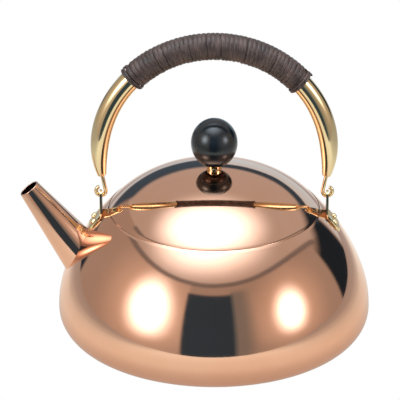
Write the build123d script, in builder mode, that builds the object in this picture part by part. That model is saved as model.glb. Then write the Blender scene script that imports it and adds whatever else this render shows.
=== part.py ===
"""Stovetop whistling kettle in polished copper, with a brass bail handle.

Frame: millimetres, +Z up. The origin is the centre of the base, on the axis of the body,
and the stove is the plane z = 0. The spout points along -X, and the handle stands in the
XZ plane and swings about an axis parallel to X.
"""
from build123d import *
from math import acos, asin, cos, degrees, hypot, radians, sin
import os

# Body: three arcs tangent to each other, from the base corner up to the mouth
body_r = 105.0            # largest radius of the body
corner_r = 17.5           # base corner
flank_r = 68.7            # first arc above the widest line
flank_arc = 18.3          # degrees of it
shoulder_r = 118.2        # long flat arc up to the mouth
mouth_r = 70.6            # opening that the lid sits in
wall_t = 1.0              # copper sheet

# Base plate, let in under the turned-in edge of the body
plate_t = 1.5
plate_r = 86.0
plate_edge = 0.7
flange_in_r = 76.0

# Lid: rim arc and crown arc, flush with the shoulder
lid_gap = 0.3             # between lid edge and mouth
rim_slope = 47.5          # degrees from level at the lid's edge
crown_from_r = 40.0       # where the rim arc meets the crown arc
crown_r = 112.0
ledge_in_r = 64.2         # ledge inside the mouth
ring_t = 1.0
lap_out_r = 76.6          # brazed lap of the mouth ring under the shoulder
lap_gap = 0.05            # brazing between lap and shoulder
ledge_drop = 0.1          # ledge below the inside of the mouth
neck_drop = 5.0
skirt_r = 63.4
skirt_t = 0.8
skirt_drop = 9.5

# Whistle in the lid and the ball knob above it
stem_r = 5.0
stem_bore_r = 3.8
neck_r = 4.2
neck_bore_r = 3.2
window_w = 4.0
disc_t = 0.8
ball_r = 15.5
ball_half_h = 16.8
ball_centre_z = 135.6
ball_bottom_z = 121.0
ball_edge_r = 1.0
insert_r = 6.3
insert_h = 8.0
stem_top_z = 126.5
stem_low_z = 108.0
window_low_z = 117.9
window_high_z = 120.4
disc_hole_r = 1.0
disc_rise = 1.0           # lower disc above the stem's end
disc_gap = 3.0
washer_r = 8.0
washer_t = 1.0
washer_drop = 0.3         # crown's curve under the washer
nut_r = 7.5
nut_h = 4.0

# Spout: a straight tapered tube
spout_root_x = -94.2
spout_root_z = 62.2
spout_tip_x = -123.6
spout_tip_z = 102.6
spout_tip_r = 7.1
spout_root_r = 13.8
spout_inside = 30.0       # how far the cone is carried on before the body trims it
strainer_hole_r = 2.4
strainer_ring_r = 6.9
trap_half = 19.0          # cover inside the body, behind the spout
trap_low = 14.0
trap_high = 76.4
trap_depth = 10.0
trap_t = 0.8

# Handle: one circular arch
arch_r = 76.1
arch_z = 127.4            # height of the arch's centre
arch_half = 101.4         # degrees from the top to each tube end
tube_r = 6.9
tube_t = 1.1
taper_from = 58.0         # degrees from the top
taper_steps = 8
taper_power = 3.4         # of the share of the taper travelled
tube_end_r = 2.9
hook_wire_r = 1.3
hook_curl_r = 3.2
hook_reach = 11.1         # straight wire between tube end and curl
hook_turn = 265.0
hook_in_tube = 12.0
hook_end_round = 0.8
bore_to = 93.0            # degrees; the tube is hollow up to here

# Grip: lengthwise cane under a wound layer
cane_r = 8.0
winding_r = 9.2
band_r = 9.5
grip_front = -46.0        # degrees from the top; a hand-wound grip isn't quite centred
grip_rear = 49.0
band_arc = 2.5

# Ears
ear_t = 1.6
eye_r = 3.9
eye_hole_r = 1.7
ear_foot_half = 8.0
foot_out_r = 84.0
foot_corner_r = 3.0
foot_margin = 4.0         # drawn beyond the foot and cut away
web_low_z = 80.0          # below the dome, which trims it
rivet_r = 1.4
rivet_head_r = 2.4
rivet_place_r = 79.6
rivet_spread = 4.8
rivet_tail = 1.0
rivet_head_h = 1.3
rivet_head_taper = 40
rivet_lift = 0.1          # clear of the curved wall
drill_half = 4.0          # half the length of a drilled hole, past any sheet

# Worked out from the sizes above
base_r = body_r - corner_r
widest_z = plate_t + corner_r
shoulder_cx = body_r - flank_r - (shoulder_r - flank_r) * cos(radians(flank_arc))
shoulder_cz = widest_z - (shoulder_r - flank_r) * sin(radians(flank_arc))
lid_r = mouth_r - lid_gap
lap_inset = wall_t + lap_gap


def shoulder_z(r, inset=0.0):
    """Height of the shoulder at radius r, measured on a surface inset from the outside."""
    radius = shoulder_r - inset
    return shoulder_cz + (radius ** 2 - (r - shoulder_cx) ** 2) ** 0.5


def shoulder_angle(r, inset=0.0):
    """Angle of the shoulder arc, from level, where it reaches radius r."""
    return degrees(acos((r - shoulder_cx) / (shoulder_r - inset)))


def draw_dome(inset, end_r=mouth_r):
    """Draw the body's side from the base corner to radius end_r in the open BuildLine."""
    end = shoulder_angle(end_r, inset)
    CenterArc((base_r, widest_z), corner_r - inset, -90, 90)
    CenterArc((body_r - flank_r, widest_z), flank_r - inset, 0, flank_arc)
    CenterArc((shoulder_cx, shoulder_cz), shoulder_r - inset, flank_arc, end - flank_arc)


def dome_core(inset):
    """Solid under the dome, inset from its outer surface: a tool for trimming."""
    with BuildPart() as core:
        with BuildSketch(Plane.XZ):
            with BuildLine():
                draw_dome(inset)
                Polyline(
                    (mouth_r, shoulder_z(mouth_r, inset)),
                    (0, shoulder_z(mouth_r, inset)),
                    (0, plate_t + inset),
                    (base_r, plate_t + inset),
                )
            make_face()
        revolve(axis=Axis.Z)
    return core.part


mouth_z = shoulder_z(mouth_r)
mouth_under_z = shoulder_z(mouth_r, wall_t)
ledge_z = mouth_under_z - ledge_drop

# Lid arcs
crown_tilt = degrees(asin(crown_from_r / crown_r))
rim_r = (lid_r - crown_from_r) / (sin(radians(rim_slope)) - sin(radians(crown_tilt)))
rim_cx = lid_r - rim_r * sin(radians(rim_slope))
rim_cz = mouth_z - rim_r * cos(radians(rim_slope))
crown_cz = rim_cz - (crown_r - rim_r) * cos(radians(crown_tilt))
lid_top_z = crown_cz + crown_r

# Arch ends, hooks and the swing axis
tube_end_x = arch_r * sin(radians(arch_half))
tube_end_z = arch_z + arch_r * cos(radians(arch_half))
tube_end = Vector(tube_end_x, 0, tube_end_z)
heading = Vector(cos(radians(arch_half)), 0, -sin(radians(arch_half)))
curl_start = tube_end + heading * hook_reach
eye_x = curl_start.X - heading.Z * hook_curl_r
swing_z = curl_start.Z + heading.X * hook_curl_r - hook_curl_r

# Spout axis
spout_dx = spout_tip_x - spout_root_x
spout_dz = spout_tip_z - spout_root_z
spout_len = hypot(spout_dx, spout_dz)
spout_axis = Vector(spout_dx, 0, spout_dz) / spout_len
spout_taper = (spout_root_r - spout_tip_r) / spout_len

parts = []


def finish(part, name):
    """Label a finished piece and keep it for the export."""
    part.label = name
    parts.append(part)


# ---------------------------------------------------------------- body
def spout_plane(along):
    """Plane square to the spout's axis, a distance along it from the root."""
    origin = Vector(spout_root_x, 0, spout_root_z) + spout_axis * along
    return Plane(origin, x_dir=(0, 1, 0), z_dir=spout_axis)


def rivet_plane(side, spread):
    """Plane on the dome under one rivet, its normal pointing out of the body."""
    along = (rivet_place_r ** 2 - spread ** 2) ** 0.5 * side
    out = (rivet_place_r - shoulder_cx) / shoulder_r
    normal = Vector(out * along / rivet_place_r, out * spread / rivet_place_r, (1 - out ** 2) ** 0.5)
    return Plane(Vector(along, spread, shoulder_z(rivet_place_r)), z_dir=normal)


rivet_spots = [(side, spread) for side in (-1, 1) for spread in (-rivet_spread, rivet_spread)]

with BuildPart() as body_shell:
    with BuildSketch(Plane.XZ):
        with BuildLine():
            draw_dome(0)
            draw_dome(wall_t)
            Line((mouth_r, mouth_z), (mouth_r, mouth_under_z))
            Polyline(
                (base_r, plate_t),
                (flange_in_r, plate_t),
                (flange_in_r, plate_t + wall_t),
                (base_r, plate_t + wall_t),
            )
        make_face()
    revolve(axis=Axis.Z)
    # Strainer: one hole and a ring of six behind the root of the spout
    with BuildSketch(spout_plane(-spout_inside)):
        Circle(strainer_hole_r)
        with PolarLocations(strainer_ring_r, 6):
            Circle(strainer_hole_r)
    extrude(amount=spout_inside + spout_root_r, mode=Mode.SUBTRACT)
    for side, spread in rivet_spots:
        with BuildSketch(rivet_plane(side, spread).offset(-drill_half)):
            Circle(rivet_r)
        extrude(amount=2 * drill_half, mode=Mode.SUBTRACT)
finish(body_shell.part, "body_shell")

with BuildPart() as bottom_plate:
    with BuildSketch():
        Circle(plate_r)
    extrude(amount=plate_t)
    fillet(bottom_plate.faces().sort_by(Axis.Z)[0].edges(), plate_edge)
finish(bottom_plate.part, "bottom_plate")

with BuildPart() as mouth_ring:
    # Lap brazed under the shoulder, level ledge for the lid, short turned-down neck
    with BuildSketch(Plane.XZ):
        with BuildLine():
            lap_start = shoulder_angle(lap_out_r, lap_inset)
            lap_end = shoulder_angle(mouth_r, lap_inset)
            CenterArc((shoulder_cx, shoulder_cz), shoulder_r - lap_inset, lap_start, lap_end - lap_start)
            Polyline(
                (mouth_r, shoulder_z(mouth_r, lap_inset)),
                (mouth_r, ledge_z),
                (ledge_in_r, ledge_z),
                (ledge_in_r, ledge_z - neck_drop),
                (ledge_in_r + ring_t, ledge_z - neck_drop),
                (ledge_in_r + ring_t, ledge_z - ring_t),
                (mouth_r, ledge_z - ring_t),
                (lap_out_r, shoulder_z(lap_out_r, lap_inset + ring_t)),
                (lap_out_r, shoulder_z(lap_out_r, lap_inset)),
            )
        make_face()
    revolve(axis=Axis.Z)
finish(mouth_ring.part, "mouth_ring")

with BuildPart() as spout:
    # Tapered tube, trimmed where it is brazed to the outside of the body
    inner_root_r = spout_root_r + spout_inside * spout_taper
    sheet = wall_t * (1 + spout_taper ** 2) ** 0.5
    root = spout_plane(0).origin
    with BuildSketch(Plane(root, x_dir=spout_axis.cross(Vector(0, -1, 0)), z_dir=(0, -1, 0))):
        with BuildLine():
            Polyline(
                (inner_root_r, -spout_inside),
                (spout_tip_r, spout_len),
                (spout_tip_r - sheet, spout_len),
                (inner_root_r - sheet, -spout_inside),
                close=True,
            )
        make_face()
    revolve(axis=Axis(root, spout_axis))
    add(dome_core(0), mode=Mode.SUBTRACT)
finish(spout.part, "spout")


def trap_block(half_width, low, high, depth):
    """Block that hugs the inside of the wall behind the spout, with a given depth."""
    with BuildPart() as block:
        with BuildSketch(Plane.XY.offset(low)):
            with Locations((-body_r, 0)):
                Rectangle(body_r, 2 * half_width)
        extrude(amount=high - low)
        add(dome_core(wall_t), mode=Mode.INTERSECT)
        add(dome_core(wall_t + depth), mode=Mode.SUBTRACT)
    return block.part


with BuildPart() as spout_trap:
    # Cover inside the body: open below, so that only water can reach the spout
    add(trap_block(trap_half, trap_low, trap_high, trap_depth))
    add(
        trap_block(trap_half - trap_t, trap_low - trap_t, trap_high - trap_t, trap_depth - trap_t),
        mode=Mode.SUBTRACT,
    )
finish(spout_trap.part, "spout_trap")


# ---------------------------------------------------------------- ears
def make_ear(side):
    """Upright strap with an eye for the hook, on a foot pressed to the shape of the dome."""
    web_plane = Plane.YZ.offset(side * eye_x - ear_t / 2)
    with BuildPart() as ear:
        # Web, narrow at the eye and wide at the dome
        with BuildSketch(web_plane):
            with BuildLine():
                eye_top = RadiusArc((-eye_r, swing_z), (eye_r, swing_z), eye_r)
                Polyline(
                    eye_top @ 1,
                    (ear_foot_half, web_low_z),
                    (-ear_foot_half, web_low_z),
                    eye_top @ 0,
                )
            make_face()
        extrude(amount=ear_t)
        # Foot: a band on the dome, cut to a rounded rectangle seen from above
        add(ear_foot(side))
        add(dome_core(0), mode=Mode.SUBTRACT)
        with BuildSketch(web_plane.offset(-drill_half)):
            with Locations((0, swing_z)):
                Circle(eye_hole_r)
        extrude(amount=2 * drill_half, mode=Mode.SUBTRACT)
        for spread in (-rivet_spread, rivet_spread):
            with BuildSketch(rivet_plane(side, spread).offset(-drill_half)):
                Circle(rivet_r)
            extrude(amount=2 * drill_half, mode=Mode.SUBTRACT)
    return ear.part


def ear_foot(side):
    """Foot of an ear: sheet of thickness ear_t lying on the dome."""
    foot_in_r = eye_x - ear_t / 2
    with BuildPart() as foot:
        with BuildSketch(Plane.XZ):
            with BuildLine():
                lap_low = shoulder_angle(foot_out_r + foot_margin)
                lap_high = shoulder_angle(foot_in_r - foot_margin)
                centre = (shoulder_cx, shoulder_cz)
                under = CenterArc(centre, shoulder_r, lap_low, lap_high - lap_low)
                over = CenterArc(centre, shoulder_r + ear_t, lap_low, lap_high - lap_low)
                Line(under @ 0, over @ 0)
                Line(under @ 1, over @ 1)
            make_face()
        revolve(axis=Axis.Z)
        with BuildSketch():
            with Locations((side * (foot_in_r + foot_out_r) / 2, 0)):
                RectangleRounded(foot_out_r - foot_in_r, 2 * ear_foot_half, foot_corner_r)
        extrude(amount=body_r + ear_t, mode=Mode.INTERSECT)
    return foot.part


def make_rivets(side):
    """Two rivets through the foot and the body wall, with domed heads outside."""
    with BuildPart() as rivets:
        for spread in (-rivet_spread, rivet_spread):
            at = rivet_plane(side, spread)
            with BuildSketch(at.offset(-wall_t - rivet_lift - rivet_tail)):
                Circle(rivet_head_r)
            extrude(amount=rivet_tail)
            with BuildSketch(at.offset(-wall_t - rivet_lift)):
                Circle(rivet_r)
            extrude(amount=wall_t + ear_t + 2 * rivet_lift)
            with BuildSketch(at.offset(ear_t + rivet_lift)):
                Circle(rivet_head_r)
            extrude(amount=rivet_head_h, taper=rivet_head_taper)
    return rivets.part


for side, end in ((-1, "front"), (1, "rear")):
    finish(make_ear(side), f"ear_{end}")
    finish(make_rivets(side), f"ear_rivets_{end}")


# ---------------------------------------------------------------- handle
def arch_plane(angle):
    """Plane square to the arch, at an angle from its top towards +X."""
    turn = radians(angle)
    origin = Vector(arch_r * sin(turn), 0, arch_z + arch_r * cos(turn))
    return Plane(origin, x_dir=(0, 1, 0), z_dir=(cos(turn), 0, -sin(turn)))


def arch_axis():
    return Axis((0, 0, arch_z), (0, 1, 0))


def arch_ring(inner_r, outer_r, start, end):
    """Round sleeve along the arch from one angle to the other."""
    with BuildPart() as ring:
        with BuildSketch(arch_plane(start)):
            Circle(outer_r)
            Circle(inner_r, mode=Mode.SUBTRACT)
        revolve(axis=arch_axis(), revolution_arc=end - start)
    return ring.part


def taper_radius(angle, inset=0.0):
    """Radius of the tube between the start of its taper and its end."""
    u = (angle - taper_from) / (arch_half - taper_from)
    return tube_r - (tube_r - tube_end_r) * u ** taper_power - inset


def taper_loft(end, inset):
    """Tapered end of the tube on the +X side, as a solid, from taper_from to an angle."""
    with BuildPart() as taper:
        for k in range(taper_steps + 1):
            angle = taper_from + (end - taper_from) * k / taper_steps
            with BuildSketch(arch_plane(angle)):
                Circle(taper_radius(angle, inset))
        loft()
    return taper.part


def add_tube(end, inset, mode):
    """Add or cut the whole arch with its two tapers in the open BuildPart."""
    with BuildSketch(arch_plane(-taper_from), mode=Mode.PRIVATE) as section:
        Circle(tube_r - inset)
    revolve(section.sketch, axis=arch_axis(), revolution_arc=2 * taper_from, mode=mode)
    add(taper_loft(end, inset), mode=mode)
    add(mirror(taper_loft(end, inset), about=Plane.YZ, mode=Mode.PRIVATE), mode=mode)


def hook_line(start, reach):
    """Two points on the straight part of the +X hook, measured from the tube's end."""
    return tube_end + heading * start, tube_end + heading * reach


def make_hook(side):
    """Wire hook: a shank held in the tube's end, curled through the eye of the ear."""
    with BuildPart() as hook:
        with BuildLine(Plane.XZ) as path:
            shank = Line(*hook_line(-hook_in_tube, hook_reach))
            JernArc(shank @ 1, shank % 1, hook_curl_r, hook_turn)
        with BuildSketch(Plane(path.line @ 0, z_dir=path.line % 0)):
            Circle(hook_wire_r)
        sweep(path=path.line)
        fillet(hook.edges().filter_by(GeomType.CIRCLE).sort_by(Axis.X)[-1], hook_end_round)
    if side < 0:
        return mirror(hook.part, about=Plane.YZ)
    return hook.part


with BuildPart() as handle_tube:
    # Hollow bent tube, swaged down at both ends and bored there for the hooks
    add_tube(arch_half, 0, Mode.ADD)
    add_tube(bore_to, tube_t, Mode.SUBTRACT)
    for side in (-1, 1):
        start, end = hook_line(-hook_in_tube, hook_wire_r)
        with BuildSketch(Plane((side * start.X, 0, start.Z), z_dir=(side * heading.X, 0, heading.Z))):
            Circle(hook_wire_r)
        extrude(amount=(end - start).length, mode=Mode.SUBTRACT)
finish(handle_tube.part, "handle_tube")

for side, end in ((-1, "front"), (1, "rear")):
    finish(make_hook(side), f"hook_{end}")

wound_front = grip_front + band_arc
wound_rear = grip_rear - band_arc
finish(arch_ring(tube_r, cane_r, wound_front, wound_rear), "grip_cane")
finish(arch_ring(cane_r, winding_r, wound_front, wound_rear), "grip_winding")
finish(arch_ring(tube_r, band_r, grip_front, wound_front), "grip_band_front")
finish(arch_ring(tube_r, band_r, wound_rear, grip_rear), "grip_band_rear")


# ---------------------------------------------------------------- lid
def draw_lid(inset, edge_r):
    """Draw the lid's surface, inset from its outside, from radius edge_r to the axis."""
    edge = degrees(acos((edge_r - rim_cx) / (rim_r - inset)))
    CenterArc((rim_cx, rim_cz), rim_r - inset, edge, 90 - crown_tilt - edge)
    CenterArc((0, crown_cz), crown_r - inset, 90 - crown_tilt, crown_tilt)


def rim_z(r, inset):
    """Height of the lid's rim arc at radius r, measured on an inset surface."""
    return rim_cz + ((rim_r - inset) ** 2 - (r - rim_cx) ** 2) ** 0.5


with BuildPart() as lid_shell:
    # Spun cap with a turned-down edge that stands on the ledge of the mouth
    lid_in_r = lid_r - wall_t
    with BuildSketch(Plane.XZ):
        with BuildLine():
            draw_lid(0, lid_r)
            draw_lid(wall_t, lid_in_r)
            Polyline(
                (lid_r, rim_z(lid_r, 0)),
                (lid_r, ledge_z),
                (lid_in_r, ledge_z),
                (lid_in_r, rim_z(lid_in_r, wall_t)),
            )
            Line((0, lid_top_z), (0, lid_top_z - wall_t))
        make_face()
    revolve(axis=Axis.Z)
    with BuildSketch(Plane.XY.offset(ledge_z)):
        Circle(neck_r)
    extrude(amount=lid_top_z, mode=Mode.SUBTRACT)
finish(lid_shell.part, "lid_shell")

with BuildPart() as lid_skirt:
    # Ring brazed inside the lid; its neck keeps the lid centred in the mouth
    with BuildSketch(Plane.XZ):
        with BuildLine():
            Polyline(
                (lid_in_r, ledge_z),
                (lid_in_r, ledge_z + skirt_t),
                (skirt_r - skirt_t, ledge_z + skirt_t),
                (skirt_r - skirt_t, ledge_z - skirt_drop),
                (skirt_r, ledge_z - skirt_drop),
                (skirt_r, ledge_z),
                close=True,
            )
        make_face()
    revolve(axis=Axis.Z)
finish(lid_skirt.part, "lid_skirt")

with BuildPart() as whistle_stem:
    # Tube with four windows; its neck goes through the lid and is threaded below
    with BuildSketch(Plane.XY.offset(lid_top_z)):
        Circle(stem_r)
    extrude(amount=stem_top_z - lid_top_z)
    with BuildSketch(Plane.XY.offset(stem_low_z)):
        Circle(neck_r)
    extrude(amount=lid_top_z - stem_low_z)
    with BuildSketch(Plane.XY.offset(window_low_z)):
        Circle(stem_bore_r)
    extrude(amount=stem_top_z - window_low_z, mode=Mode.SUBTRACT)
    with BuildSketch(Plane.XY.offset(stem_low_z)):
        Circle(neck_bore_r)
    extrude(amount=window_low_z - stem_low_z, mode=Mode.SUBTRACT)
    with BuildSketch(Plane.XY.offset(window_low_z)):
        Rectangle(window_w, 4 * stem_r)
        Rectangle(4 * stem_r, window_w)
    extrude(amount=window_high_z - window_low_z, mode=Mode.SUBTRACT)
finish(whistle_stem.part, "whistle_stem")


def make_disc(low_z):
    """Whistle disc: a plate with one small hole, pressed into the neck of the stem."""
    with BuildPart() as disc:
        with BuildSketch(Plane.XY.offset(low_z)):
            Circle(neck_bore_r)
            Circle(disc_hole_r, mode=Mode.SUBTRACT)
        extrude(amount=disc_t)
    return disc.part


finish(make_disc(stem_low_z + disc_rise), "whistle_disc_lower")
finish(make_disc(stem_low_z + disc_rise + disc_t + disc_gap), "whistle_disc_upper")

with BuildPart() as stem_washer:
    washer_top_z = lid_top_z - wall_t - washer_drop
    with BuildSketch(Plane.XY.offset(washer_top_z - washer_t)):
        Circle(washer_r)
        Circle(neck_r, mode=Mode.SUBTRACT)
    extrude(amount=washer_t)
finish(stem_washer.part, "stem_washer")

with BuildPart() as stem_nut:
    nut_top_z = lid_top_z - wall_t - washer_drop - washer_t
    with BuildSketch(Plane.XY.offset(nut_top_z - nut_h)):
        RegularPolygon(nut_r, 6)
        Circle(neck_r, mode=Mode.SUBTRACT)
    extrude(amount=nut_h)
finish(stem_nut.part, "stem_nut")

with BuildPart() as knob_ball:
    with BuildSketch(Plane.XZ):
        with Locations((0, ball_centre_z)):
            Ellipse(ball_r, ball_half_h)
        with Locations((-ball_r, ball_centre_z)):
            Rectangle(2 * ball_r, 4 * ball_half_h, mode=Mode.SUBTRACT)
        with Locations((0, ball_bottom_z)):
            Rectangle(4 * ball_r, 2 * ball_r, align=(Align.CENTER, Align.MAX), mode=Mode.SUBTRACT)
    revolve(axis=Axis.Z)
    fillet(knob_ball.faces().sort_by(Axis.Z)[0].edges(), ball_edge_r)
    with BuildSketch(Plane.XY.offset(ball_bottom_z)):
        Circle(insert_r)
    extrude(amount=insert_h, mode=Mode.SUBTRACT)
finish(knob_ball.part, "knob_ball")

with BuildPart() as knob_insert:
    # Brass cup moulded into the ball and screwed on the top of the stem
    with BuildSketch(Plane.XY.offset(ball_bottom_z)):
        Circle(insert_r)
    extrude(amount=insert_h)
    with BuildSketch(Plane.XY.offset(ball_bottom_z)):
        Circle(stem_r)
    extrude(amount=stem_top_z - ball_bottom_z, mode=Mode.SUBTRACT)
finish(knob_insert.part, "knob_insert")


# ---------------------------------------------------------------- export
os.makedirs("parts", exist_ok=True)
for part in parts:
    export_step(part, f"parts/{part.label}.step")
    print(part.label, round(part.volume), "mm3")
print("nodes", len(parts))
print("mouth", round(mouth_z, 2), "ledge", round(ledge_z, 2), "lid top", round(lid_top_z, 2))
print("swing axis z", round(swing_z, 3), "eye x", round(eye_x, 3))
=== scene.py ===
# %% [markdown]
# # A polished copper kettle
#
# The kettle is a spun copper body and lid, a straight tapered spout, a brass bail handle
# wound with dark cane, and a black phenolic ball for a knob. The engineering model comes
# first and is never changed here. It gives every place and size. Blender then does what an
# engineering model can't: smooth mirror surfaces, hand-wound cane, and real finishes.

# %% Load the frame
import bpy
import bmesh
from math import asin, acos, atan2, cos, degrees, hypot, pi, radians, sin, tau
from mathutils import Matrix, Vector, noise
from random import Random


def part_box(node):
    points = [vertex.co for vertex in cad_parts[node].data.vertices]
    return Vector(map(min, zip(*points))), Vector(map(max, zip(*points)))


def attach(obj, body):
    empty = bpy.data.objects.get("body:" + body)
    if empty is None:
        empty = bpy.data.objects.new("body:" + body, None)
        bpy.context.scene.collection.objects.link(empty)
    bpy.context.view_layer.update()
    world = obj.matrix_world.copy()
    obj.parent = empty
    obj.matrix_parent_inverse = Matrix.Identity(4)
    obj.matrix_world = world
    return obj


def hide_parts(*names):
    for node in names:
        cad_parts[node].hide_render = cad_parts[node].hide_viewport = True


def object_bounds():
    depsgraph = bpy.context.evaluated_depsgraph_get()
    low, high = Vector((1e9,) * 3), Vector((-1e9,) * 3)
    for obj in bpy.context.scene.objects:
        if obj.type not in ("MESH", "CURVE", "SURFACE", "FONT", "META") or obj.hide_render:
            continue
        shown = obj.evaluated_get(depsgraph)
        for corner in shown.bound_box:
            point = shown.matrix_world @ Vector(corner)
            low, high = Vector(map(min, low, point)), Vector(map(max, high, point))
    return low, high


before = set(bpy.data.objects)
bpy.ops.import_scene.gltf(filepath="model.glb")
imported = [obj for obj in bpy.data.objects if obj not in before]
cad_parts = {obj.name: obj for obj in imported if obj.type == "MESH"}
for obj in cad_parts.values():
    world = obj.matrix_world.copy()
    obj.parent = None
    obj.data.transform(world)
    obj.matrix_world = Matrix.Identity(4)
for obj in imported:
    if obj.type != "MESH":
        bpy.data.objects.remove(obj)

cad_low, cad_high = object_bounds()
MM = 0.001
scene = bpy.context.scene

# %% [markdown]
# ## Sizes
#
# A mirror shows any error in its curve, so the copper is rebuilt from the same three arcs
# as the real spinning chuck, in millimetres. What the frame can tell is read from it: the
# widest radius is half of the body's box, and the lid's edge is half of the lid's.

# %% The arcs of body and lid
body_r = (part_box("body_shell")[1].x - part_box("body_shell")[0].x) / 2 / MM
lid_r = (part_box("lid_shell")[1].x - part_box("lid_shell")[0].x) / 2 / MM
plate_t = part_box("bottom_plate")[1].z / MM
wall_t = 1.0
corner_r, flank_r, shoulder_r = 17.5, 68.7, 118.2
flank_arc = 18.3
mouth_r = 70.6
flange_in_r = 76.0
base_r = body_r - corner_r
widest_z = plate_t + corner_r
flank_x = body_r - flank_r
shoulder_x = flank_x - (shoulder_r - flank_r) * cos(radians(flank_arc))
shoulder_z = widest_z - (shoulder_r - flank_r) * sin(radians(flank_arc))


def shoulder_angle(r, inset=0.0):
    """Angle of the shoulder arc from level, in degrees, where it reaches radius r."""
    return degrees(acos((r - shoulder_x) / (shoulder_r - inset)))


def shoulder_height(r, inset=0.0):
    return shoulder_z + ((shoulder_r - inset) ** 2 - (r - shoulder_x) ** 2) ** 0.5


mouth_z = shoulder_height(mouth_r)
print("widest radius", round(body_r, 2), "lid radius", round(lid_r, 2), "mouth height", round(mouth_z, 2))

# %% [markdown]
# ## The camera
#
# A long lens from 1.8 m, about 25 degrees above the table, keeps the circles of the lid and
# the body calm and nearly parallel. The camera looks at a point a little above and to the
# side of the middle, which sets the kettle low in the frame, and has no lens shift.

# %% Camera
elevation = radians(24.618)
distance = 1.8
subject = Vector((0, 0, 0.060))
up = Vector((0, sin(elevation), cos(elevation)))
away = Vector((0, cos(elevation), -sin(elevation)))
eye = subject - away * distance
aim = subject + Vector((-0.0095, 0, 0)) + up * 0.0314

camera = bpy.data.objects.new("camera", bpy.data.cameras.new("camera"))
camera.data.sensor_width = 36
camera.data.lens = 240.6
camera.data.clip_start = 0.1
camera.data.clip_end = 20
camera.location = eye
camera.rotation_mode = "QUATERNION"
camera.rotation_quaternion = (aim - eye).to_track_quat("-Z", "Y")
scene.collection.objects.link(camera)
scene.camera = camera
print("camera at", [round(v, 3) for v in eye])

# %% [markdown]
# ## Nodes in one line
#
# Every finish below is a small graph of nodes. One function adds a node, sets its values and
# makes its links, so that a graph reads from top to bottom. Colours are written as the sRGB
# hex values that a painter would pick, and one function turns them to linear light.


# %% Node and colour helpers
def linear(hex_colour, alpha=1.0):
    """sRGB hex such as '#C87F5A' as the linear RGBA that Blender's sockets take."""
    channels = [int(hex_colour[i:i + 2], 16) / 255 for i in (1, 3, 5)]
    return tuple(c / 12.92 if c <= 0.04045 else ((c + 0.055) / 1.055) ** 2.4 for c in channels) + (alpha,)


def add(tree, kind, inputs=None, **settings):
    """Add a node of a kind; inputs maps a socket's name or number to a value or an output."""
    node = tree.nodes.new(kind)
    for name, value in settings.items():
        setattr(node, name, value)
    for name, value in (inputs or {}).items():
        if isinstance(value, bpy.types.NodeSocket):
            tree.links.new(value, node.inputs[name])
        else:
            node.inputs[name].default_value = value
    return node


def ramp(tree, value, stops):
    """Colour ramp from (position, colour) stops; returns its colour output."""
    node = add(tree, "ShaderNodeValToRGB", {"Fac": value})
    elements = node.color_ramp.elements
    while len(elements) < len(stops):
        elements.new(0.5)
    for element, (position, colour) in zip(elements, stops):
        element.position = position
        element.color = colour
    return node.outputs["Color"]


# %% [markdown]
# ## Light
#
# Polished copper has almost no colour of its own in a render. It shows the room. A product
# photographer lights a mirror with large white panels and leaves black between them: one
# panel overhead, one at each side, a white table, and a dark gap in front. Here the room is
# drawn in the world's shader, as panels placed by compass direction and height, so the
# light is soft, clean and costs little to sample. The compass is zero straight in front of
# the kettle and grows towards the handle's rear side, and both angles are in degrees.

# %% The room
world = bpy.data.worlds.new("studio")
scene.world = world
world.use_nodes = True
room = world.node_tree
room.nodes.clear()
direction = add(room, "ShaderNodeTexCoord").outputs["Generated"]
parts = add(room, "ShaderNodeSeparateXYZ", {0: direction})
in_front = add(room, "ShaderNodeMath", {0: parts.outputs["Y"], 1: -1.0}, operation="MULTIPLY")
turn = add(room, "ShaderNodeMath", {0: parts.outputs["X"], 1: in_front.outputs[0]}, operation="ARCTAN2")
rise = add(room, "ShaderNodeMath", {0: parts.outputs["Z"]}, operation="ARCSINE")
compass = add(room, "ShaderNodeMath", {0: turn.outputs[0]}, operation="DEGREES").outputs[0]
height = add(room, "ShaderNodeMath", {0: rise.outputs[0]}, operation="DEGREES").outputs[0]


def calculate(operation, first, second=0.0, third=0.0):
    """One step of arithmetic in the room's graph."""
    return add(room, "ShaderNodeMath", {0: first, 1: second, 2: third}, operation=operation).outputs[0]


def band(value, low, high, soft_low, soft_high):
    """1 where value is between low and high, easing to 0 over the soft widths outside them."""
    rising = add(room, "ShaderNodeMapRange", {0: value, 1: low - soft_low, 2: low},
                 interpolation_type="SMOOTHSTEP")
    falling = add(room, "ShaderNodeMapRange", {0: value, 1: high, 2: high + soft_high, 3: 1.0, 4: 0.0},
                  interpolation_type="SMOOTHSTEP")
    return calculate("MULTIPLY", rising.outputs[0], falling.outputs[0])


def fade(across, up, width, tall):
    """1 at the middle of a lamp, easing to 0 at an ellipse of the given half sizes."""
    wide = calculate("POWER", calculate("DIVIDE", across, width), 2.0)
    reach = calculate("MULTIPLY_ADD", calculate("DIVIDE", up, tall), calculate("DIVIDE", up, tall), wide)
    eased = add(room, "ShaderNodeMapRange", {0: calculate("SQRT", reach), 1: 0.0, 2: 1.0, 3: 1.0, 4: 0.0},
                interpolation_type="SMOOTHSTEP")
    return eased.outputs[0]


def lit(light, radiance, shape):
    """The light so far plus a radiance (red, green, blue) within a shape."""
    glow = add(room, "ShaderNodeVectorMath", {0: radiance, 1: shape}, operation="MULTIPLY").outputs[0]
    return add(room, "ShaderNodeVectorMath", {0: light, 1: glow}, operation="ADD").outputs[0]


def screened(light, radiance, shape):
    """The light so far, hidden behind a dark screen within a shape."""
    return add(room, "ShaderNodeMix", {0: shape, 4: light, 5: radiance}, data_type="VECTOR").outputs[1]


def both(first, second):
    return calculate("MULTIPLY", first, second)


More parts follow.
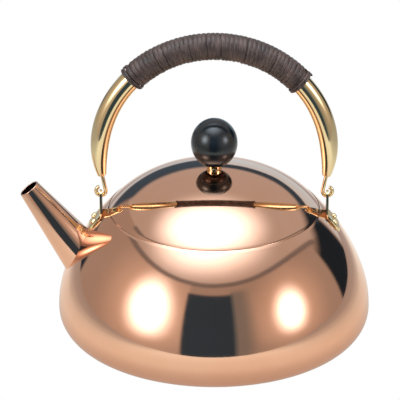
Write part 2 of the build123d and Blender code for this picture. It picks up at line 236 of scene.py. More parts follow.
# The overhead panel's lower edge dips towards the sides, and sooner on the handle's rear side
dip = calculate("MAXIMUM", calculate("MULTIPLY", compass, 1.15), calculate("MULTIPLY", compass, -1.0))
edge = calculate("MULTIPLY_ADD", calculate("POWER", calculate("DIVIDE", dip, 90.0), 4.0), -4.0, 45.5)
above_edge = calculate("SUBTRACT", height, edge)
overhead = band(above_edge, 1.0, 200.0, 1.5, 1.0)
below = band(above_edge, -90.0, -2.0, 1.0, 1.5)
left_side = both(band(compass, -128.0, -24.0, 10.0, 3.0), below)
right_side = both(band(compass, 24.0, 112.0, 12.0, 3.0), below)

WALL = (0.40, 0.36, 0.33)
SCREEN = (0.034, 0.062, 0.098)
LAMP = (0.97, 1.10, 1.22)
WARM = (1.0, 0.78, 0.62)


def scaled(colour, strength):
    return tuple(c * strength for c in colour)


light = add(room, "ShaderNodeCombineXYZ", dict(enumerate(WALL))).outputs[0]
# Left and right panels: a hot lamp behind cloth, and its warm spread
side_lamps = (
    # side, compass, height, size, power
    (left_side, -53.0, 22.0, 1.0, 5.0),
    (right_side, 62.0, 17.0, 0.72, 4.6),
)
for side, at, rise_at, size, power in side_lamps:
    across = calculate("SUBTRACT", compass, at)
    climb = calculate("SUBTRACT", height, rise_at)
    light = lit(light, scaled(WARM, 0.45), both(side, fade(across, climb, 62.0 * size, 46.0 * size)))
    core = calculate("POWER", fade(across, climb, 33.0 * size, 30.0 * size), 2.0)
    light = lit(light, scaled(LAMP, power), both(side, core))
# Overhead panel: its lamps are placed on the ceiling, sideways and forwards over height
side_run = calculate("DIVIDE", parts.outputs["X"], calculate("MAXIMUM", parts.outputs["Z"], 0.05))
front_run = calculate("DIVIDE", in_front.outputs[0], calculate("MAXIMUM", parts.outputs["Z"], 0.05))
light = lit(light, scaled(LAMP, 0.12), overhead)
ceiling = fade(calculate("ADD", side_run, 0.08), calculate("SUBTRACT", front_run, 0.12), 1.15, 1.0)
light = lit(light, scaled(LAMP, 3.2), both(overhead, calculate("POWER", ceiling, 1.6)))
# The joint under the overhead panel is a thin dark line
joint = both(band(above_edge, -1.2, 0.2, 1.5, 1.5), band(compass, -112.0, 116.0, 4.0, 4.0))
light = screened(light, SCREEN, both(joint, 0.55))
# Each screen: colour, share of the light behind it that it hides, then the compass and height
# that it covers as low, high and the soft widths below and above
screens = (
    (SCREEN, 1.0, (-22.0, 16.0, 3.5, 2.5), (-30.0, 37.5, 1.0, 2.0)),
    ((0.16, 0.20, 0.22), 0.7, (16.0, 22.0, 2.0, 14.0), (-30.0, 38.0, 1.0, 4.0)),
    (scaled(SCREEN, 0.4), 1.0, (113.0, 139.0, 4.0, 5.0), (-30.0, 18.0, 1.0, 9.0)),
    (scaled(SCREEN, 0.6), 1.0, (-143.0, -131.0, 4.0, 4.0), (-30.0, 3.0, 1.0, 3.0)),
    (scaled(SCREEN, 1.2), 1.0, (141.0, 181.0, 6.0, 1.0), (14.5, 19.0, 1.5, 4.0)),
    (scaled(SCREEN, 1.6), 1.0, (-181.0, -150.0, 1.0, 6.0), (4.0, 17.0, 2.0, 6.0)),
    ((0.62, 0.80, 0.92), 1.0, (146.0, 181.0, 5.0, 1.0), (-90.0, 12.5, 1.0, 1.5)),
    ((0.55, 0.72, 0.84), 1.0, (-181.0, -150.0, 1.0, 5.0), (-90.0, 1.0, 1.0, 1.5)),
)
for colour, share, sideways, height_range in screens:
    shape = both(band(compass, *sideways), band(height, *height_range))
    light = screened(light, colour, both(shape, share))

seen = add(room, "ShaderNodeLightPath").outputs["Is Camera Ray"]
lit_room = add(room, "ShaderNodeBackground", {"Color": light, "Strength": 1.0})
backdrop = add(room, "ShaderNodeBackground", {"Color": (1, 1, 1, 1), "Strength": 1.0})
either = add(room, "ShaderNodeMixShader", {0: seen, 1: lit_room.outputs[0], 2: backdrop.outputs[0]})
add(room, "ShaderNodeOutputWorld", {"Surface": either.outputs[0]})
scene.view_settings.view_transform = "Standard"
print("room nodes", len(room.nodes))

# %% [markdown]
# The table is a plain pale board. Its front edge shows in the kettle's belly as the line
# between bright copper below and dark copper above, so the edge's place matters: it is
# 280 mm in front of the kettle's middle. To the lens it is a clean white ground. In the
# copper it is a glowing board with painted shade: darker beside the kettle and at the sides.

# %% The table
table_bm = bmesh.new()
bmesh.ops.create_grid(table_bm, x_segments=1, y_segments=1, size=1.0)
bmesh.ops.scale(table_bm, vec=(1.6, 1.0, 1.0), verts=table_bm.verts)
# A tenth of a millimetre low, so that it never shares a plane with the base plate
bmesh.ops.translate(table_bm, vec=(0, 0.72, -0.1 * MM), verts=table_bm.verts)
table_mesh = bpy.data.meshes.new("table")
table_bm.to_mesh(table_mesh)
table_bm.free()
table = bpy.data.objects.new("table", table_mesh)
scene.collection.objects.link(table)

# The board glows with painted shade for all but camera rays; to the lens it is plain white
painted = bpy.data.materials.new("pale board with painted shade")
painted.use_nodes = True
tree = painted.node_tree
tree.nodes.clear()
seen = add(tree, "ShaderNodeLightPath").outputs["Is Camera Ray"]
white = add(tree, "ShaderNodeEmission", {"Color": (1, 1, 1, 1), "Strength": 1.0})
# Painted shadow and falloff: the board's glow is darker beside the kettle, where the kettle keeps light off
# it, and dimmer at the sides, where the lamps reach less far
place = add(tree, "ShaderNodeTexCoord").outputs["Object"]
reach = add(tree, "ShaderNodeVectorMath", {0: place}, operation="LENGTH").outputs["Value"]
board = ramp(tree, reach, (
    (0.09, (0.50, 0.42, 0.37, 1)), (0.15, (0.82, 0.78, 0.70, 1)), (0.26, (0.96, 0.98, 0.92, 1)),
    (0.50, (0.66, 0.66, 0.66, 1)), (1.0, (0.60, 0.60, 0.60, 1))))
sides = add(tree, "ShaderNodeSeparateXYZ", {0: place}).outputs["X"]
far_out = add(tree, "ShaderNodeMath", {0: sides}, operation="ABSOLUTE").outputs[0]
painted_side_falloff = add(tree, "ShaderNodeMapRange", {0: far_out, 1: 0.12, 2: 0.30, 3: 1.05, 4: 0.68},
             interpolation_type="SMOOTHSTEP")
# Painted glow: the board emits its painted-shade colour, dimmed at the sides, to all but camera rays
warm = add(tree, "ShaderNodeEmission", {"Color": board, "Strength": painted_side_falloff.outputs[0]})
either = add(tree, "ShaderNodeMixShader", {0: seen, 1: warm.outputs[0], 2: white.outputs[0]})
add(tree, "ShaderNodeOutputMaterial", {"Surface": either.outputs[0]})
table_mesh.materials.append(painted)
print("table front edge at", round(min(v.co.y for v in table_mesh.vertices), 3), "m")

# %% [markdown]
# ## Finishes
#
# Copper is spun, planished and buffed to a mirror. Buffing leaves hair-fine lines round the
# axis and a very slight wave in the sheet, which break a reflection up just enough to look
# like metal and not like glass. Heat and handling leave the tone a little uneven.


# %% Metal finishes
def new_finish(name):
    """Empty material with a Principled shader; returns the material, its tree and shader."""
    finish = bpy.data.materials.new(name)
    finish.use_nodes = True
    finish.node_tree.nodes.clear()
    shader = add(finish.node_tree, "ShaderNodeBsdfPrincipled")
    add(finish.node_tree, "ShaderNodeOutputMaterial", {"Surface": shader.outputs[0]})
    return finish, finish.node_tree, shader


def polished_metal(name, clean, toned, rough, buff_spacing, wave_height):
    """Buffed sheet metal. buff_spacing and wave_height are in millimetres."""
    finish, tree, shader = new_finish(name)
    place = add(tree, "ShaderNodeTexCoord").outputs["Object"]
    cloud = add(tree, "ShaderNodeTexNoise", {"Vector": place, "Scale": 14.0, "Detail": 4.0, "Roughness": 0.6})
    tone = ramp(tree, cloud.outputs["Fac"], ((0.35, linear(clean)), (0.75, linear(toned))))
    tree.links.new(tone, shader.inputs["Base Color"])
    shader.inputs["Metallic"].default_value = 1.0
    # Buffing lines are long and lie level, so the noise is stretched tall in height only
    lines = add(tree, "ShaderNodeMapping", {"Vector": place, "Scale": (30, 30, 1 / (buff_spacing * MM))})
    buff = add(tree, "ShaderNodeTexNoise", {"Vector": lines.outputs[0], "Scale": 1.0, "Detail": 3.0})
    gloss = add(tree, "ShaderNodeMapRange",
                {0: buff.outputs["Fac"], 1: 0.3, 2: 0.7, 3: rough * 0.75, 4: rough * 1.35})
    tree.links.new(gloss.outputs[0], shader.inputs["Roughness"])
    wave = add(tree, "ShaderNodeTexNoise", {"Vector": place, "Scale": 45.0, "Detail": 1.0})
    bump = add(tree, "ShaderNodeBump",
               {"Height": wave.outputs["Fac"], "Distance": wave_height * MM, "Strength": 1.0})
    tree.links.new(bump.outputs[0], shader.inputs["Normal"])
    return finish


copper = polished_metal("polished copper", "#F4C2A6", "#EDB798", 0.06, 0.6, 0.02)
brass = polished_metal("polished brass", "#F8E2B4", "#EDD09C", 0.09, 0.4, 0.01)
tin = polished_metal("wiped tin lining", "#CFCBC4", "#B4AEA6", 0.32, 0.8, 0.10)
print("metals", copper.name, brass.name, tin.name)

# %% [markdown]
# Cane is the glossy bark of rattan, split into flat strands, dyed dark brown and wound wet.
# Its fibres run along each strand. The strands carry two attributes, how far along and how
# far across a point is, so the grain follows every turn.


# %% Cane and phenolic
def dyed_cane():
    finish, tree, shader = new_finish("dyed rattan cane")
    along = add(tree, "ShaderNodeAttribute", attribute_name="strand").outputs["Vector"]
    # Fibres 0.3 mm wide and 9 mm long; the real ones are finer, and would be lost
    stretched = add(tree, "ShaderNodeMapping",
                    {"Vector": along, "Scale": (1 / (9 * MM), 1 / (0.3 * MM), 1.0)})
    fibre = add(tree, "ShaderNodeTexNoise", {"Vector": stretched.outputs[0], "Scale": 1.0, "Detail": 3.0})
    place = add(tree, "ShaderNodeTexCoord").outputs["Object"]
    patch = add(tree, "ShaderNodeTexNoise", {"Vector": place, "Scale": 120.0, "Detail": 3.0})
    mixed = add(tree, "ShaderNodeMath", {0: fibre.outputs["Fac"], 1: 0.55}, operation="MULTIPLY")
    total = add(tree, "ShaderNodeMath", {0: patch.outputs["Fac"], 1: 0.45, 2: mixed.outputs[0]},
                operation="MULTIPLY_ADD")
    tone = ramp(tree, total.outputs[0], (
        (0.30, linear("#2A2220")), (0.48, linear("#4E403C")),
        (0.60, linear("#6B5650")), (0.78, linear("#9A8478"))))
    tree.links.new(tone, shader.inputs["Base Color"])
    gloss = add(tree, "ShaderNodeMapRange", {0: fibre.outputs["Fac"], 1: 0.3, 2: 0.7, 3: 0.30, 4: 0.55})
    tree.links.new(gloss.outputs[0], shader.inputs["Roughness"])
    bump = add(tree, "ShaderNodeBump", {"Height": total.outputs[0], "Distance": 0.15 * MM, "Strength": 1.0})
    tree.links.new(bump.outputs[0], shader.inputs["Normal"])
    return finish


def moulded_phenolic():
    finish, tree, shader = new_finish("black moulded phenolic")
    place = add(tree, "ShaderNodeTexCoord").outputs["Object"]
    swirl = add(tree, "ShaderNodeTexNoise",
                {"Vector": place, "Scale": 90.0, "Detail": 3.0, "Distortion": 0.8})
    tone = ramp(tree, swirl.outputs["Fac"], ((0.3, linear("#12181D")), (0.7, linear("#1D262D"))))
    tree.links.new(tone, shader.inputs["Base Color"])
    gloss = add(tree, "ShaderNodeMapRange", {0: swirl.outputs["Fac"], 1: 0.3, 2: 0.7, 3: 0.17, 4: 0.23})
    tree.links.new(gloss.outputs[0], shader.inputs["Roughness"])
    shader.inputs["IOR"].default_value = 1.6
    fine = add(tree, "ShaderNodeTexNoise", {"Vector": place, "Scale": 1500.0, "Detail": 1.0})
    bump = add(tree, "ShaderNodeBump",
               {"Height": fine.outputs["Fac"], "Distance": 0.01 * MM, "Strength": 0.6})
    tree.links.new(bump.outputs[0], shader.inputs["Normal"])
    return finish


cane = dyed_cane()
phenolic = moulded_phenolic()
print("finishes", cane.name, phenolic.name)

# %% [markdown]
# ## Turned shapes
#
# A metal spinner presses a disc of sheet over a turning form. The mesh is made the same
# way: a profile is drawn in the XZ plane, with arcs made by spinning a single point about
# the arc's centre, and then the whole profile is spun round the kettle's axis. With 256
# steps the facets are under 3 mm wide and the shading shows a true curve.

# %% Profile and lathe helpers
TURN_STEPS = 256


def point(bm, r, z, last=None):
    """Add a profile point at radius r and height z, in millimetres, joined to the last one."""
    vert = bm.verts.new((r * MM, 0, z * MM))
    if last:
        bm.edges.new((last, vert))
    return vert


def arc(bm, last, centre, sweep, steps):
    """Carry the profile on from last, along an arc of sweep degrees about centre (r, z)."""
    swept = bmesh.ops.spin(
        bm, geom=[last], cent=(centre[0] * MM, 0, centre[1] * MM), axis=(0, -1, 0),
        angle=radians(sweep), steps=steps)
    return next(item for item in swept["geom_last"] if isinstance(item, bmesh.types.BMVert))


def lathe(bm, steps=TURN_STEPS):
    """Spin the profile round the kettle's axis, close its seam and point its faces outwards."""
    bmesh.ops.spin(
        bm, geom=bm.verts[:] + bm.edges[:], cent=(0, 0, 0), axis=(0, 0, 1), angle=tau, steps=steps,
        use_merge=True)
    bmesh.ops.remove_doubles(bm, verts=bm.verts, dist=1e-6)
    bmesh.ops.recalc_face_normals(bm, faces=bm.faces)


def round_ring(bm, r, z, width, segments=3):
    """Round over the ring edge at radius r and height z, all in millimetres."""
    near = 0.01 * MM
    ring = [e for e in bm.edges
            if all(abs(v.co.xy.length - r * MM) < near and abs(v.co.z - z * MM) < near for v in e.verts)]
    bmesh.ops.bevel(bm, geom=ring, offset=width * MM, offset_type="OFFSET", segments=segments,
                    profile=0.5, affect="EDGES", material=-1)


def piece(bm, name, body, nodes, finishes, sharp=32):
    """Turn a bmesh into a finished piece that rides on a body and stands for CAD nodes."""
    mesh = bpy.data.meshes.new(name)
    bm.to_mesh(mesh)
    bm.free()
    for finish in finishes:
        mesh.materials.append(finish)
    mesh.shade_smooth()
    mesh.set_sharp_from_angle(angle=radians(sharp))
    obj = bpy.data.objects.new(name, mesh)
    scene.collection.objects.link(obj)
    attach(obj, body)
    if nodes:
        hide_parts(*nodes)
    print(name, "faces", len(mesh.polygons))
    return obj


# %% [markdown]
# ### The body
#
# One sheet, 1 mm thick: a small round corner at the base, then a tighter arc through the
# widest line, then one long flat arc up to the mouth. Copper that touches food is wiped
# with tin inside, so the inner faces get the second finish.

# %% Body
bm = bmesh.new()
first = point(bm, flange_in_r, plate_t)
last = point(bm, base_r, plate_t, first)
last = arc(bm, last, (base_r, widest_z), 90, 14)
last = arc(bm, last, (flank_x, widest_z), flank_arc, 8)
last = arc(bm, last, (shoulder_x, shoulder_z), shoulder_angle(mouth_r) - flank_arc, 26)
last = point(bm, mouth_r, shoulder_height(mouth_r, wall_t), last)
last = arc(bm, last, (shoulder_x, shoulder_z), flank_arc - shoulder_angle(mouth_r, wall_t), 26)
last = arc(bm, last, (flank_x, widest_z), -flank_arc, 8)
last = arc(bm, last, (base_r, widest_z), -90, 14)
last = point(bm, flange_in_r, plate_t + wall_t, last)
bm.edges.new((last, first))
lathe(bm)
round_ring(bm, mouth_r, mouth_z, 0.15)
middle = Vector((0, 0, 40 * MM))
for face in bm.faces:
    face.material_index = int(face.normal.dot(face.calc_center_median() - middle) < 0)
body = piece(bm, "kettle_body", "kettle", ["body_shell"], [copper, tin])

# %% [markdown]
# ### The lid
#
# The lid carries the body's line on to a low crown, with a turned-down edge that stands in
# the mouth. A hairline of shadow, 0.3 mm wide, is all that parts the two, so both edges are
# rounded over to catch the light.

# %% Lid
lid_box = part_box("lid_shell")
lid_foot_z = lid_box[0].z / MM
lid_top_z = lid_box[1].z / MM
rim_slope, crown_from_r, crown_r = 47.5, 40.0, 112.0
hole_r = 4.2
crown_tilt = degrees(asin(crown_from_r / crown_r))
rim_r = (lid_r - crown_from_r) / (sin(radians(rim_slope)) - sin(radians(crown_tilt)))
rim_x = lid_r - rim_r * sin(radians(rim_slope))
rim_z = mouth_z - rim_r * cos(radians(rim_slope))
crown_z = rim_z - (crown_r - rim_r) * cos(radians(crown_tilt))


def hole_tilt(inset):
    """Degrees from upright where the crown meets the hole for the whistle."""
    return degrees(asin(hole_r / (crown_r - inset)))


bm = bmesh.new()
first = point(bm, lid_r, lid_foot_z)
last = point(bm, lid_r, mouth_z, first)
last = arc(bm, last, (rim_x, rim_z), rim_slope - crown_tilt, 16)
last = arc(bm, last, (0, crown_z), crown_tilt - hole_tilt(0), 14)
last = point(bm, hole_r, crown_z + (crown_r - wall_t) * cos(radians(hole_tilt(wall_t))), last)
last = arc(bm, last, (0, crown_z), hole_tilt(wall_t) - crown_tilt, 14)
inner_edge = degrees(acos((lid_r - wall_t - rim_x) / (rim_r - wall_t)))
last = arc(bm, last, (rim_x, rim_z), inner_edge + crown_tilt - 90, 16)
last = point(bm, lid_r - wall_t, lid_foot_z, last)
bm.edges.new((last, first))
lathe(bm)
round_ring(bm, lid_r, mouth_z, 0.2)
for face in bm.faces:
    face.material_index = int(face.normal.dot(face.calc_center_median() - middle) < 0)
piece(bm, "lid_cap", "lid", ["lid_shell"], [copper, tin])
print("crown", round(crown_z + crown_r, 2), "frame says about", round(lid_top_z, 2))

# %% [markdown]
# ### The spout
#
# The spout is a cone of sheet, cut square at the tip and scribed to the body where it is
# brazed on. It is turned like the rest, but about its own leaning axis. The points of its
# two root rings then slide along the cone until they meet the body's surface, which is how
# a scribed joint is marked out.

# %% Spout
root = Vector((-94.2, 0, 62.2)) * MM
tip = Vector((-123.6, 0, 102.6)) * MM
root_r, tip_r = 13.8, 7.1
run = (tip - root).length / MM
lean = (tip - root).normalized()
taper = (root_r - tip_r) / run
sheet = wall_t * (1 + taper ** 2) ** 0.5
buried = 30.0


def above_dome(place):
    """Distance in millimetres from the body's outer surface; negative inside it."""
    r = place.xy.length / MM
    z = place.z / MM
    if atan2(z - widest_z, r - flank_x) < radians(flank_arc):
        return hypot(r - flank_x, z - widest_z) - flank_r
    return hypot(r - shoulder_x, z - shoulder_z) - shoulder_r


def slide_to_dome(vert, step):
    """Move a vertex along step to the body's surface, by halving the distance 30 times."""
    low, high = 0.0, 1.0
    start = vert.co.copy()
    for _ in range(30):
        half = (low + high) / 2
        if above_dome(start + step * half) < 0:
            low = half
        else:
            high = half
    vert.co = start + step * high


bm = bmesh.new()
first = point(bm, root_r + buried * taper, -buried)
last = point(bm, tip_r, run, first)
last = point(bm, tip_r - sheet, run, last)
last = point(bm, root_r + buried * taper - sheet, -buried, last)
bm.edges.new((last, first))
lathe(bm, 96)
round_ring(bm, tip_r, run, 0.35)
round_ring(bm, tip_r - sheet, run, 0.3)
upright = lean.to_track_quat("Z", "Y").to_matrix().to_4x4()
bmesh.ops.transform(bm, matrix=Matrix.Translation(root) @ upright, verts=bm.verts)
for vert in bm.verts:
    along = (vert.co - root).dot(lean)
    if along < 0:
        out = (vert.co - root) - lean * along
        step = lean * (buried + run) * MM - out.normalized() * taper * (buried + run) * MM
        slide_to_dome(vert, step)
piece(bm, "spout_cone", "kettle", ["spout"], [copper])

# %% [markdown]
# ### The knob
#
# The knob is a moulded ball, a little taller than wide, with a flat foot. A ball from
# bmesh is scaled, cut level with bisect_plane, closed, and its foot rounded over.

# %% Knob
ball_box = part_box("knob_ball")
ball_r = (ball_box[1].x - ball_box[0].x) / 2
ball_foot_z = ball_box[0].z
ball_half_h = 16.8 * MM
ball_z = ball_box[1].z - ball_half_h
bm = bmesh.new()
bmesh.ops.create_uvsphere(bm, u_segments=96, v_segments=64, radius=ball_r)
bmesh.ops.scale(bm, vec=(1, 1, ball_half_h / ball_r), verts=bm.verts)
bmesh.ops.translate(bm, vec=(0, 0, ball_z), verts=bm.verts)
cut = bmesh.ops.bisect_plane(
    bm, geom=bm.verts[:] + bm.edges[:] + bm.faces[:], plane_co=(0, 0, ball_foot_z), plane_no=(0, 0, -1),
    clear_outer=True)
foot_edges = [item for item in cut["geom_cut"] if isinstance(item, bmesh.types.BMEdge)]
bmesh.ops.edgeloop_fill(bm, edges=foot_edges)
bmesh.ops.bevel(bm, geom=foot_edges, offset=0.8 * MM, offset_type="OFFSET", segments=4, profile=0.5,
                affect="EDGES", material=-1)
bmesh.ops.recalc_face_normals(bm, faces=bm.faces)
piece(bm, "lid_knob", "lid", ["knob_ball"], [phenolic])

# %% [markdown]
# ## The handle
#
# The handle is one brass tube bent to a single arc. Past 58 degrees from the top its ends
# are swaged down to a third of the width. A ring of points is spun along the arc about the
# arc's own centre, and the swaging then pulls each ring in towards the tube's middle line.

# %% Handle tube
arch_r, arch_z = 76.1, 127.4
arch_half, taper_from, taper_power = 101.4, 58.0, 3.4
tube_r, tube_end_r = 6.9, 2.9
arch_centre = Vector((0, 0, arch_z * MM))


def arch_frame(angle):
    """Middle of the tube, outward direction and heading, at an angle from the top, in radians."""
    outward = Vector((sin(angle), 0, cos(angle)))
    return arch_centre + outward * arch_r * MM, outward, Vector((cos(angle), 0, -sin(angle)))


def ring_on_arch(bm, radius, angle, segments):
    """Circle square to the arch, at an angle from its top."""
    middle_point, _, heading = arch_frame(angle)
    turned = Matrix.Translation(middle_point) @ heading.to_track_quat("Z", "Y").to_matrix().to_4x4()
    return bmesh.ops.create_circle(bm, cap_ends=False, radius=radius * MM, segments=segments, matrix=turned)


def tube_along_arch(bm, radius, start, end, steps, segments):
    """Tube of one radius along the arch, from start to end in degrees, with closed ends."""
    ring_on_arch(bm, radius, radians(start), segments)
    bmesh.ops.spin(bm, geom=bm.verts[:] + bm.edges[:], cent=arch_centre, axis=(0, 1, 0),
                   angle=radians(end - start), steps=steps)
    rims = [e for e in bm.edges if e.is_boundary]
    bmesh.ops.holes_fill(bm, edges=rims, sides=0)
    bmesh.ops.recalc_face_normals(bm, faces=bm.faces)
    return rims


def arch_angle(place):
    return atan2(place.x, place.z - arch_centre.z)


bm = bmesh.new()
rims = tube_along_arch(bm, tube_r, -arch_half, arch_half, 204, 40)
for vert in bm.verts:
    angle = degrees(abs(arch_angle(vert.co)))
    if angle > taper_from:
        share = (angle - taper_from) / (arch_half - taper_from)
        radius = tube_r - (tube_r - tube_end_r) * min(share, 1.0) ** taper_power
        middle_point = arch_frame(arch_angle(vert.co))[0]
        vert.co = middle_point + (vert.co - middle_point) * (radius / tube_r)
bmesh.ops.bevel(bm, geom=rims, offset=0.35 * MM, offset_type="OFFSET", segments=3, profile=0.5,
                affect="EDGES", material=-1)
piece(bm, "bail_tube", "handle", ["handle_tube"], [brass])

# %% [markdown]
# Each end holds a wire hook, bent by hand round a peg so that it passes through the eye of
# the ear. The wire is a ring of points, drawn straight out of the tube and then spun round
# the middle of the curl.

# %% Hooks
hook_wire_r, hook_curl_r, hook_reach = 1.3, 3.2, 11.1
hook_turn = 265.0
for side, end in ((-1, "front"), (1, "rear")):
    bm = bmesh.new()
    tube_end, outward, heading = arch_frame(radians(arch_half))
    facing = heading.to_track_quat("Z", "Y").to_matrix().to_4x4()
    turned = Matrix.Translation(tube_end - heading * 2 * MM) @ facing
    bmesh.ops.create_circle(bm, cap_ends=False, radius=hook_wire_r * MM, segments=20, matrix=turned)
    ring = bmesh.ops.extrude_edge_only(bm, edges=bm.edges[:])["geom"]
    moved = [item for item in ring if isinstance(item, bmesh.types.BMVert)]
    bmesh.ops.translate(bm, vec=heading * (hook_reach + 2) * MM, verts=moved)
    curl = tube_end + heading * hook_reach * MM + outward * hook_curl_r * MM
    rim = [item for item in ring if isinstance(item, bmesh.types.BMEdge) and
           all(v in moved for v in item.verts)]
    bmesh.ops.spin(bm, geom=moved + rim, cent=curl, axis=(0, -1, 0), angle=radians(hook_turn), steps=40)
    ends = [e for e in bm.edges if e.is_boundary]
    bmesh.ops.holes_fill(bm, edges=ends, sides=0)
    bmesh.ops.bevel(bm, geom=ends, offset=0.5 * MM, offset_type="OFFSET", segments=3, profile=0.5,
                    affect="EDGES", material=-1)
    bmesh.ops.scale(bm, vec=(side, 1, 1), verts=bm.verts)
    bmesh.ops.recalc_face_normals(bm, faces=bm.faces)
    piece(bm, f"wire_hook_{end}", "handle", [f"hook_{end}"], [brass])

# %% [markdown]
# ## The grip
#
# A flat strand of cane is wound round the tube about forty times, over a few lengthwise
# strips, and the ends are tucked under a tighter binding. By hand, no two turns are alike:
# each is a little wider, higher or more slanted than the last. The strand is screwed
# along a straight bar with bmesh's spin, which takes a step sideways at each turn, then
# each turn is disturbed, and last the straight bar is bent to the arch.

# %% Winding
grip_front, grip_rear = -46.0, 49.0
band_arc = 2.5
cane_r, winding_r, band_r = 8.0, 9.2, 9.5
strand_t = 1.3
seed = Random(7)


def bend_to_arch(bm, start):
    """Bend a straight bar on the X axis to the arch; x = 0 goes to start degrees."""
    for vert in bm.verts:
        angle = radians(start) + vert.co.x / (arch_r * MM)
        middle_point, outward, _ = arch_frame(angle)
        vert.co = middle_point + outward * vert.co.z + Vector((0, vert.co.y, 0))


def wind(name, start, end, pitch, middle_r, thick, nodes, wobble):
    """Wind a flat strand from start to end degrees along the arch; sizes in millimetres."""
    length = radians(end - start) * arch_r
    turns = round((length - pitch) / pitch)
    step = (length - pitch) / turns
    per_turn = 28
    sides = 10
    bm = bmesh.new()
    strand = bm.verts.layers.float_vector.new("strand")
    # The strand's section lies in the XZ plane above the bar: wide in X, thin in Z
    flat = Matrix.Translation((step / 2 * MM, 0, middle_r * MM)) @ Matrix.Rotation(pi / 2, 4, "X")
    bmesh.ops.create_circle(bm, cap_ends=False, radius=1.0, segments=sides, matrix=flat)
    for vert in bm.verts:
        vert.co.x = (step / 2 + (vert.co.x / MM - step / 2) * step * 0.00054) * MM
        vert.co.z = (middle_r + (vert.co.z / MM - middle_r) * thick * 0.0005) * MM
    bmesh.ops.spin(
        bm, geom=bm.verts[:] + bm.edges[:], cent=(0, 0, 0), axis=(1, 0, 0), angle=tau * turns,
        steps=per_turn * turns, dvec=(step / per_turn * MM, 0, 0))
    bmesh.ops.holes_fill(bm, edges=[e for e in bm.edges if e.is_boundary], sides=0)
    widths = [seed.uniform(-1, 1) for _ in range(turns + 2)]
    lifts = [seed.uniform(-1, 1) for _ in range(turns + 2)]
    slants = [seed.uniform(-1, 1) for _ in range(turns + 2)]
    bm.verts.ensure_lookup_table()
    for vert in bm.verts:
        place = vert.index / sides / per_turn
        turn_number = min(int(place), turns - 1)
        share = place - turn_number
        ease = 1 - abs(2 * share - 1)
        across = vert.co.x / MM - (step / 2 + place * step)
        vert[strand] = (place * tau * middle_r * MM, across * MM, 0)
        sway = widths[turn_number] * 0.10 * ease + slants[turn_number] * 0.22 * sin(tau * share)
        vert.co.x += sway * step * MM * wobble
        lift = (lifts[turn_number] * 0.16 - 0.10) * ease * wobble
        fine = 0.05 * noise.noise(Vector((place * 9, across * 2, 0)))
        scale = 1 + (lift + fine) / middle_r
        vert.co.y *= scale
        vert.co.z *= scale
    bend_to_arch(bm, start)
    bmesh.ops.recalc_face_normals(bm, faces=bm.faces)
    print("turns", turns, "pitch", round(step, 2), "mm")
    return piece(bm, name, "handle", nodes, [cane], sharp=60)


wound_from = grip_front + band_arc
wound_to = grip_rear - band_arc
wind("cane_winding", wound_from, wound_to, 2.75, winding_r - strand_t / 2 - 0.15, strand_t,
     ["grip_winding"], 1.0)
wind("cane_binding_front", grip_front, wound_from + 0.6, 1.35, band_r - 0.75, 1.3, ["grip_band_front"], 0.4)
wind("cane_binding_rear", wound_to - 0.6, grip_rear, 1.35, band_r - 0.75, 1.3, ["grip_band_rear"], 0.4)

# %% Cane under the winding
bm = bmesh.new()
under = bm.verts.layers.float_vector.new("strand")
tube_along_arch(bm, cane_r, wound_from, wound_to, 90, 48)
for vert in bm.verts:
    angle = arch_angle(vert.co)
    middle_point, outward, _ = arch_frame(angle)
    out = vert.co - middle_point
    round_it = atan2(out.y, out.dot(outward))
    vert[under] = (angle * arch_r * MM, round_it * cane_r * MM, 0)
    # Nine strips side by side, each a little crowned
    vert.co = middle_point + out * (1 - 0.03 * abs(sin(round_it * 4.5)))
piece(bm, "cane_core", "handle", ["grip_cane"], [cane], sharp=60)

# %% [markdown]
# Split cane never winds clean. Short fibres lift from the edges of the strands, most of all
# on the outside of the curve, and a few tucked ends stand out inside the front end. Here 64
# short fibres are scattered at random along the grip and all round it.

# %% Loose fibres
bm = bmesh.new()
loose = bm.verts.layers.float_vector.new("strand")
for _ in range(64):
    angle = radians(seed.uniform(grip_front + 2, grip_rear - 2))
    round_it = seed.uniform(-pi, pi)
    middle_point, outward, heading = arch_frame(angle)
    out = outward * cos(round_it) + Vector((0, sin(round_it), 0))
    lie = out * seed.uniform(0.25, 0.5) + heading * seed.uniform(-1, 1)
    lie = lie + out.cross(heading) * seed.uniform(-0.6, 0.6)
    size = seed.uniform(1.4, 2.6)
    at = middle_point + out * (winding_r - 0.7) * MM + lie.normalized() * size * 0.4 * MM
    turned = Matrix.Translation(at) @ lie.to_track_quat("Z", "Y").to_matrix().to_4x4()
    bmesh.ops.create_cone(bm, cap_ends=True, segments=5, radius1=0.26 * MM, radius2=0.05 * MM,
                          depth=size * MM, matrix=turned)
limit = cad_high.z - 0.05 * MM
for vert in bm.verts:
    vert[loose] = (vert.co.x, vert.co.y, 0)
    vert.co.z = min(vert.co.z, limit)
piece(bm, "cane_fibres", "handle", [], [cane], sharp=60)

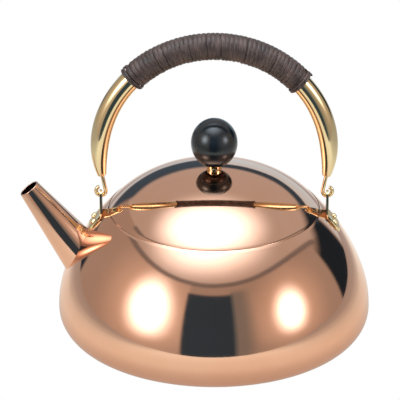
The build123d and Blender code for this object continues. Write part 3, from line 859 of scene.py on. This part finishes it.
# %% [markdown]
# ## Small metal parts
#
# Ears, rivets, stem, washer, nut and linings already have the right shape in the frame. A
# copy of each is merged, its flat facets are joined, and its edges are broken by a fine
# bevel, because a real edge is never perfectly sharp and always shows a line of light.


# %% Refined copies
def refine(name, node, body, finish, edge, sharp=35):
    """Copy a CAD node's mesh, weld it and round its sharp edges by edge millimetres."""
    bm = bmesh.new()
    bm.from_mesh(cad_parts[node].data)
    bmesh.ops.remove_doubles(bm, verts=bm.verts, dist=0.002 * MM)
    bmesh.ops.dissolve_limit(bm, angle_limit=radians(1.0), verts=bm.verts, edges=bm.edges)
    if edge:
        corners = [e for e in bm.edges if len(e.link_faces) == 2 and e.calc_face_angle(0) > radians(sharp)]
        bmesh.ops.bevel(bm, geom=corners, offset=edge * MM, offset_type="OFFSET", segments=2, profile=0.5,
                        affect="EDGES", material=-1, clamp_overlap=True)
    return piece(bm, name, body, [node], [finish], sharp)


small_parts = (
    # piece, node, body, slot, finish, rounded edge in mm
    ("ear_strap_front", "ear_front", "kettle", "polished_brass", brass, 0.5),
    ("ear_strap_rear", "ear_rear", "kettle", "polished_brass", brass, 0.5),
    ("rivets_front", "ear_rivets_front", "kettle", "polished_brass", brass, 0.15),
    ("rivets_rear", "ear_rivets_rear", "kettle", "polished_brass", brass, 0.15),
    ("base_plate", "bottom_plate", "kettle", "polished_copper", copper, 0.0),
    ("lid_seat", "mouth_ring", "kettle", "polished_copper", tin, 0.1),
    ("strainer_cover", "spout_trap", "kettle", "polished_copper", tin, 0.0),
    ("lid_neck", "lid_skirt", "lid", "polished_copper", tin, 0.1),
    ("whistle_tube", "whistle_stem", "lid", "polished_brass", brass, 0.12),
    ("whistle_plate_low", "whistle_disc_lower", "lid", "polished_brass", brass, 0.05),
    ("whistle_plate_high", "whistle_disc_upper", "lid", "polished_brass", brass, 0.05),
    ("clamp_washer", "stem_washer", "lid", "polished_brass", brass, 0.1),
    ("clamp_nut", "stem_nut", "lid", "polished_brass", brass, 0.2),
    ("knob_ferrule", "knob_insert", "lid", "polished_brass", brass, 0.1),
)
for name, node, body_name, slot, finish, edge in small_parts:
    refine(name, node, body_name, finish, edge)
